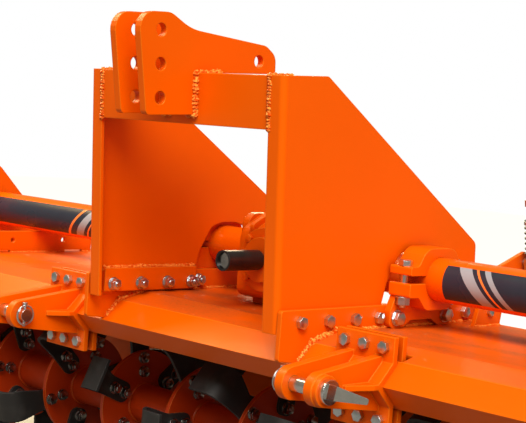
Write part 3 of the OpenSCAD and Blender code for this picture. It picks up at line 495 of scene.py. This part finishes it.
# Mast plates, foot strips and deck brackets
# Folded plates whose front flanges are the posts, with a strip welded inside the foot;
# zinc bolts hold them to brackets that are welded on the deck and the front beam.
dress(paint, "mast_plate_left", "mast_plate_right", "mast_strips", "deck_bracket_left",
      "deck_bracket_right")
MAST_IN, MAST_OUT, BRACKET_OUT, STRIP_IN = 273.5, 281.5, 291.5, 263.5
FOOT_BOLT_Z, FOOT_BOLTS, REAR_BOLT = 557.7, (53, 130, 207, 279), 563
STRIP_TOP, STRIP_FRONT, STRIP_REAR = 591.0, 32, 292
STRIP_SEAM, DECK_SEAM, SLOPE_SEAM, BEAM_SEAM = 15, 11, 20, 14
bolts = bmesh.new()
seams = bmesh.new()
for side in (-1, 1):
    inside, outside = side * MAST_IN, side * BRACKET_OUT
    for y in FOOT_BOLTS:
        bolt(bolts, at(outside, y, FOOT_BOLT_Z), OUT_X * side, M14, collar=False)
        nut(bolts, at(side * STRIP_IN, y, FOOT_BOLT_Z), -OUT_X * side, M14)
    bolt(bolts, at(outside, REAR_BOLT, FOOT_BOLT_Z), OUT_X * side, M14, collar=False)
    nut(bolts, at(inside, REAR_BOLT, FOOT_BOLT_Z), -OUT_X * side, M14)
    weld(seams, at(inside, STRIP_FRONT, STRIP_TOP), at(inside, STRIP_REAR, STRIP_TOP), STRIP_SEAM)
    for x in (side * MAST_OUT, outside):
        beam_top, deck_edge = at(x, BEAM_Y, BEAM_Z + BEAM_HALF), at(x, DECK_FRONT, DECK_Z)
        weld(seams, deck_edge, at(x, DECK_REAR - 12, DECK_Z), DECK_SEAM)
        weld(seams, beam_top, deck_edge, SLOPE_SEAM)
        weld(seams, at(x, BEAM_Y - 32, BEAM_Z + 10), beam_top, BEAM_SEAM)
settle("mast_bolts", bolts, zinc, "frame")
settle("mast_welds", seams, bead_paint, "frame")

# Crossbar and top link lugs
# A rectangular tube between the posts, with two flame-cut lugs that straddle it;
# coarse weld beads run down its front and along its top.
dress(paint, "mast_crossbar", "top_link_lug_left", "top_link_lug_right")
LEAN, POST_Z, POST_H, CROSSBAR_H = math.radians(3.8), 535.0, 479.0, 100.0
POST_IN, LUG_IN, LUG_OUT = 244.5, 28.5, 44.5


def on_mast(x, y, z):
    """A place on the leaning mast in mm: y behind the posts' front, z over their foot."""
    return at(x, y * math.cos(LEAN) - z * math.sin(LEAN),
              POST_Z + y * math.sin(LEAN) + z * math.cos(LEAN))


seams = bmesh.new()
bar_low, bar_high = POST_H - CROSSBAR_H - 1, POST_H - 1
for side in (-1, 1):
    post = side * POST_IN
    weld(seams, on_mast(post, 2, bar_low), on_mast(post, 2, bar_high), 13)
    weld(seams, on_mast(post, 2, bar_high), on_mast(post, 60, bar_high), 10)
    for x in (side * LUG_IN, side * LUG_OUT):
        weld(seams, on_mast(x, 0, bar_low + 18), on_mast(x, 0, bar_high - 2), 18)
        weld(seams, on_mast(x, 0, bar_high), on_mast(x, 62, bar_high + 1), 14)
settle("crossbar_welds", seams, bead_paint, "frame")

# Lower hitch
# Cast clevis brackets and counter plates clamp the front beam with six bolts each;
# a chrome-plated pin with a bent tab goes through the ears, held by a linch pin.


def polished_pin(shade):
    place = shade.place()
    drawn = shade.node("Mapping", None, {"Vector": place, "Scale": (6.0, 500.0, 500.0)})
    streak = shade.grain(drawn, 1.0, 4.0)
    return shade.surface({
        "Base Color": shade.grain(place, 60.0).blend((0.62, 0.66, 0.70, 1), (0.92, 0.95, 0.98, 1)),
        "Roughness": 0.14 + 0.16 * streak, "Metallic": 1.0,
        "Normal": shade.bumped(streak, 0.06, 0.0003, shade.rounded(0.0015))})


chrome = finish_of("polished_pin", polished_pin)
dress(paint, "hitch_bracket_left", "hitch_bracket_right", "hitch_clamps")
dress(chrome, "hitch_pin_left", "hitch_pin_right")
CLEVIS_X, CLAMP_FRONT, CLAMP_BACK = 438.0, 69.0, 105.0
CLAMP_STEPS, CLAMP_BOLT_Z, CLAMP_BOLT = (-46, 0, 46), 66.0, 13
PIN_Y, CLIP_X, CLIP_RING, RING_WIRE = -85.0, 386.0, 20.5, 4.2
bolts = bmesh.new()
clips = bmesh.new()
for side in (-1, 1):
    for step in CLAMP_STEPS:
        for low in (-1, 1):
            x, z = side * (CLEVIS_X + step), BEAM_Z + low * CLAMP_BOLT_Z
            bolt(bolts, at(x, CLAMP_FRONT, z), -OUT_Y, CLAMP_BOLT, collar=False)
            nut(bolts, at(x, CLAMP_BACK, z), OUT_Y, M12)
    clip_x = side * CLIP_X
    disc(clips, at(clip_x, PIN_Y, BEAM_Z - 24), UP, 7, 48, 14)
    disc(clips, at(clip_x, PIN_Y, BEAM_Z + 18), UP, 12, 9, 14)
    hoop(clips, at(clip_x - side * 3, PIN_Y, BEAM_Z + CLIP_RING), at(clip_x, PIN_Y, BEAM_Z),
         RING_WIRE, 8, 36)
bmesh.ops.recalc_face_normals(clips, faces=clips.faces)
settle("hitch_bolts", bolts, zinc, "frame")
settle("linch_pins", clips, zinc, "frame")

# Gearbox, input shaft and sleeve
# An iron housing on the deck with its bolts painted over, a splined steel shaft
# and a black plastic sleeve that guards the splines.


def moulded_black(shade):
    place = shade.place()
    tone = shade.grain(place, 40.0, 5.0)
    return shade.surface({
        "Base Color": tone.blend((0.008, 0.008, 0.009, 1), (0.022, 0.022, 0.024, 1)),
        "Roughness": 0.26 + 0.14 * shade.grain(place, 60.0),
        "Normal": shade.bumped(shade.grain(place, 500.0), 0.1, 0.0004, shade.rounded(0.0015))})


sleeve_black = finish_of("sleeve_black", moulded_black)
dress(paint, "gearbox")
# Painted shade: the steel input shaft takes the dark blackened finish, so its end reads dark
# inside the sleeve.
dress(dark_zinc_and_shaft_shade, "input_shaft")
dress(sleeve_black, "shaft_sleeve")
GEARBOX_FRONT, GEARBOX_SIDE, GEARBOX_TOP = 236.0, 97.0, 758.5
FRONT_BOLT, SIDE_BOLTS = 41, ((-112, -74), (-112, 74), (70, 74), (70, -74))
BREATHER_Y = SHAFT_Y - 15
bolts = bmesh.new()
for side in (-1, 1):
    for low in (-1, 1):
        seat = at(side * FRONT_BOLT, GEARBOX_FRONT, SHAFT_Z + low * FRONT_BOLT)
        bolt(bolts, seat, -OUT_Y, M10, collar=False)
    for y, z in SIDE_BOLTS:
        seat = at(side * GEARBOX_SIDE, SHAFT_Y + y, SHAFT_Z + z)
        bolt(bolts, seat, OUT_X * side, M12, collar=False)
settle("gearbox_bolts", bolts, paint, "frame")
breather = bmesh.new()
bolt(breather, at(0, BREATHER_Y, GEARBOX_TOP), UP, M16)
disc(breather, at(0, BREATHER_Y, GEARBOX_TOP + 12), UP, 14, 10, 16, 0.8)
settle("breather_plug", breather, zinc, "frame")

# Beam tubes and their clamps
# Drawn steel tubes flanged to the gearbox, held by cast saddles and caps on the deck
# brackets; each tube has a film of slanted stripes in navy, grey and orange.
NAVY, NAVY_PALE = (0.018, 0.026, 0.045, 1), (0.028, 0.038, 0.060, 1)
SILVER, FILM_ORANGE = (0.36, 0.38, 0.43, 1), (1.0, 0.24, 0.05, 1)
FILM_HALF, FILM_START, FILM_END, FILM_SLANT = 0.034, 0.386, 1.170, 0.9
STRIPES = ((0.445, 0.030, SILVER), (0.486, 0.006, FILM_ORANGE), (0.505, 0.014, SILVER),
           (0.700, 0.014, SILVER), (0.727, 0.006, FILM_ORANGE), (0.746, 0.030, SILVER),
           (0.800, 0.010, FILM_ORANGE))


def striped_tube(shade):
    """The paint of the tubes, with the striped film on their front."""
    place = shade.place()
    x, y, z = place.apart_from(at(0, SHAFT_Y, SHAFT_Z))
    along = shade.maths("ABSOLUTE", x)
    film = along.between(FILM_START, FILM_END) * z.between(-FILM_HALF, FILM_HALF) * (y < 0.0)
    slant = along + FILM_SLANT * z
    colour = shade.grain(place, 20.0).blend(NAVY, NAVY_PALE)
    for start, wide, tint in STRIPES:
        colour = slant.between(start, start + wide).blend(colour, tint)
    return orange_coat(shade, place, film.blend(mottled_orange(shade, place), colour), 0.20)


tube_paint = finish_of("tube_paint_striped", striped_tube)
dress(tube_paint, "beam_tube_left", "beam_tube_right")
dress(paint, "clamp_saddle_left", "clamp_saddle_right", "clamp_caps")
SADDLE_MID, SADDLE_FACE, SADDLE_UNDER, CAP_TOP, CAP_REACH = 318.5, 306.5, 602.5, 664.5, 79.0
TUBE_FLANGE, TUBE_BOLT_R = 111, 59
bolts = bmesh.new()
for side in (-1, 1):
    middle = side * SADDLE_MID
    for fore in (-1, 1):
        y = SHAFT_Y + fore * CAP_REACH
        bolt(bolts, at(middle, y, CAP_TOP), UP, M16, collar=False)
        nut(bolts, at(middle, y, SADDLE_UNDER), -UP, M16)
        disc(bolts, at(middle, y, SADDLE_UNDER), UP, M16, CAP_TOP - SADDLE_UNDER, 16)
        bolt(bolts, at(side * SADDLE_FACE, y, FOOT_BOLT_Z), OUT_X * side, M16)
        nut(bolts, at(side * MAST_OUT, y, FOOT_BOLT_Z), -OUT_X * side, M14)
    for k in range(6):
        y, z = around(shaft_end, TUBE_BOLT_R, math.radians(30 + 60 * k))
        bolt(bolts, at(side * TUBE_FLANGE, y, z), OUT_X * side, M10)
settle("tube_clamp_bolts", bolts, zinc, "frame")

# Hinge rod and trailing board
# A pressed sheet with welded knuckles hangs on a bright rod between the end plates,
# which is held by a nut outside each plate.
dress(zinc, "hinge_rod")
dress(paint, "trailing_board")
HINGE_Y, HINGE_Z = 680.7, 418.6
bolts = bmesh.new()
for side in (-1, 1):
    nut(bolts, at(side * END_OUT, HINGE_Y, HINGE_Z), OUT_X * side, M18)
settle("hinge_nuts", bolts, zinc, "frame")

# Spring rods, swivels and springs
# Bright steel rods slide through swivel blocks on welded brackets; coil springs of dark
# wire above and below press the board on the soil.
ROD_X, SWIVEL_Y, SWIVEL_Z, ROD_TILT = 380.0, 686.7, 668.0, math.radians(11.7035)
BLOCK_HALF, COIL_R, WIRE, COIL_STEPS = 15.0, 19.0, 6.0, 24
UPPER_L, UPPER_TURNS, LOWER_L, LOWER_TURNS, ROD_STROKE = 74.0, 6, 120.0, 8, 49.7
ROD_NUT_Z, ROD_NUT_FLATS, ROD_NUT_TALL = 39.5, 33, 15
BRACKET_FACES, BRACKET_BOLT_Y, BRACKET_BOLT_Z = (343, 353), 570, 566
WIRE_DARK, WIRE_GREY = (0.045, 0.045, 0.047, 1), (0.12, 0.118, 0.115, 1)


def spring_wire(shade):
    place = shade.place()
    return shade.surface({
        "Base Color": shade.grain(place, 120.0, 4.0).blend(WIRE_DARK, WIRE_GREY),
        "Roughness": 0.30 + 0.2 * shade.grain(place, 200.0), "Metallic": 0.85,
        "Normal": shade.bumped(shade.grain(place, 600.0), 0.1, 0.0003)})


wire = finish_of("spring_wire", spring_wire)
dress(paint, "rod_brackets")
dress(zinc, "rod_swivels", "spring_rods")
rod_up = Vector((0, -math.sin(ROD_TILT), math.cos(ROD_TILT)))


def coil(bm, side, low, long, turns):
    """One spring on the rod of that side, from low to low + long over the swivel."""
    middle = at(side * ROD_X, SWIVEL_Y, SWIVEL_Z) + rod_up * (low + WIRE / 2) / 1000
    lie = (Matrix.Translation(middle) @ Matrix.Rotation(ROD_TILT, 4, "X")
           @ Matrix.Translation((COIL_R / 1000, 0, 0)) @ Matrix.Rotation(math.pi / 2, 4, "X"))
    made = bmesh.ops.create_circle(bm, segments=10, radius=WIRE / 2000, cap_ends=True, matrix=lie)
    cap = made["verts"][0].link_faces[0]
    steps = COIL_STEPS * turns
    bmesh.ops.spin(bm, geom=[cap] + list(cap.edges) + list(cap.verts), cent=middle, axis=rod_up,
                   dvec=rod_up * (long - WIRE) / 1000 / steps, angle=2 * math.pi * turns,
                   steps=steps)


upper, lower = bmesh.new(), bmesh.new()
for side in (-1, 1):
    coil(upper, side, BLOCK_HALF, UPPER_L, UPPER_TURNS)
    coil(lower, side, -BLOCK_HALF - LOWER_L, LOWER_L, LOWER_TURNS)
for bm in (upper, lower):
    bmesh.ops.recalc_face_normals(bm, faces=bm.faces)
upper_coils = settle("upper_coils", upper, wire, "swivels")
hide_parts("upper_springs")
lower_coils = settle("lower_coils", lower, wire, "swivels")
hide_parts("lower_springs")
at(0, SWIVEL_Y, SWIVEL_Z) - rod_up * BLOCK_HALF / 1000
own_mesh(lower_coils)
rod_nuts = bmesh.new()
bolts = bmesh.new()
seams = bmesh.new()
for side in (-1, 1):
    swivel = at(side * ROD_X, SWIVEL_Y, SWIVEL_Z)
    nut_seat = swivel + rod_up * (BLOCK_HALF + UPPER_L + ROD_NUT_Z) / 1000
    hexagon(rod_nuts, nut_seat, rod_up, ROD_NUT_FLATS, ROD_NUT_TALL)
    bolt(bolts, at(side * BRACKET_FACES[1], BRACKET_BOLT_Y, BRACKET_BOLT_Z), OUT_X * side, M10,
         collar=False)
    for x in BRACKET_FACES:
        weld(seams, at(side * x, DECK_REAR - 93, DECK_Z), at(side * x, DECK_REAR - 7, DECK_Z), 8)
settle("rod_nuts", rod_nuts, zinc, "rods")
settle("rod_bracket_bolts", bolts, zinc, "frame")
settle("rod_bracket_welds", seams, bead_paint, "frame")

# Studio
# A pale floor, a white surround, broad light from the roof and three panels,
# and the camera where the photographer stood.
FLOOR_HALF = 14.0
FLOOR_PALE, FLOOR_PALER = (0.88, 0.94, 1.0, 1), (0.90, 0.96, 1.0, 1)
FLOOR_THROWN = (0.20, 0.19, 0.18, 1)
WHITE, WARM_ROOM, ROOM_FILL = (1.0, 1.0, 1.0, 1), (1.0, 0.86, 0.62, 1), 0.22
ROOF_LIGHT, ROOF_WARMTH, ROOF_BLUR = 3.9, (1.0, 0.96, 0.88), math.radians(40)
ROOF_AIM, PANEL_WARMTH = Vector((-0.55, 0.62, -1.0)), (1.0, 0.80, 0.48)
PANELS = (("right_panel", (3.6, -1.5, 1.8), (0.2, 0.0, 0.6), 1.6, 30.0, False),
          ("left_panel", (-2.3, -0.6, 2.7), (0.0, -0.2, 0.5), 1.3, 55.0, True),
          ("rear_panel", (-2.5, 2.4, 1.9), (0.2, 0.1, 0.6), 1.2, 60.0, True))
CAMERA_PLACE, CAMERA_TURN = (1.9838, -2.13702, 0.91121), (86.5863, -4.3694, 44.7483)
SENSOR, FOCAL, NEAR, FAR = 36.0, 93.381, 0.05, 60.0


def pale_floor(shade):
    """Pale to look at, with little light thrown back up under the machine."""
    tone = shade.grain(shade.place(), 1.2, 2.0).blend(FLOOR_PALE, FLOOR_PALER)
    dull = {"Roughness": 0.9, "Specular IOR Level": 0.1}
    seen = shade.surface({"Base Color": tone, **dull})
    thrown = shade.surface({"Base Color": FLOOR_THROWN, **dull})
    looked_at = shade.node("LightPath", None, None, "Is Camera Ray")
    return shade.node("MixShader", None, {0: looked_at, 1: thrown, 2: seen})


ground = bmesh.new()
bmesh.ops.create_grid(ground, x_segments=1, y_segments=1, size=FLOOR_HALF)
floor_mesh = bpy.data.meshes.new("floor")
ground.to_mesh(floor_mesh)
ground.free()
floor_mesh.materials.append(finish_of("pale_floor", pale_floor))
floor = bpy.data.objects.new("floor", floor_mesh)
bpy.context.scene.collection.objects.link(floor)

surround = bpy.data.worlds.new("surround")
surround.use_nodes = True
surround.node_tree.nodes.clear()
room = Shade(surround.node_tree)
looked_at = room.node("LightPath", None, None, "Is Camera Ray")
glow = {"Color": looked_at.blend(WARM_ROOM, WHITE),
        "Strength": looked_at * (1.0 - ROOM_FILL) + ROOM_FILL}
room.node("OutputWorld", None, {"Surface": room.node("Background", None, glow)})
bpy.context.scene.world = surround
sky = bpy.data.lights.new("roof_panels", "SUN")
sky.energy, sky.angle, sky.color = ROOF_LIGHT, ROOF_BLUR, ROOF_WARMTH
roof = bpy.data.objects.new("roof_panels", sky)
roof.rotation_euler = ROOF_AIM.to_track_quat("-Z", "Y").to_euler()
bpy.context.scene.collection.objects.link(roof)
for name, place, aim, size, watts, mirrored in PANELS:
    panel = bpy.data.lights.new(name, "AREA")
    panel.size, panel.energy, panel.color = size, watts, PANEL_WARMTH
    lamp = bpy.data.objects.new(name, panel)
    lamp.location = place
    lamp.rotation_euler = (Vector(aim) - Vector(place)).to_track_quat("-Z", "Y").to_euler()
    lamp.visible_glossy = mirrored
    bpy.context.scene.collection.objects.link(lamp)

lens = bpy.data.cameras.new("camera")
lens.sensor_fit, lens.sensor_width, lens.lens = "HORIZONTAL", SENSOR, FOCAL
lens.clip_start, lens.clip_end = NEAR, FAR
camera = bpy.data.objects.new("camera", lens)
camera.location = CAMERA_PLACE
camera.rotation_euler = [math.radians(turn) for turn in CAMERA_TURN]
bpy.context.scene.collection.objects.link(camera)
bpy.context.scene.camera = camera
bpy.context.scene.view_settings.view_transform = "Standard"
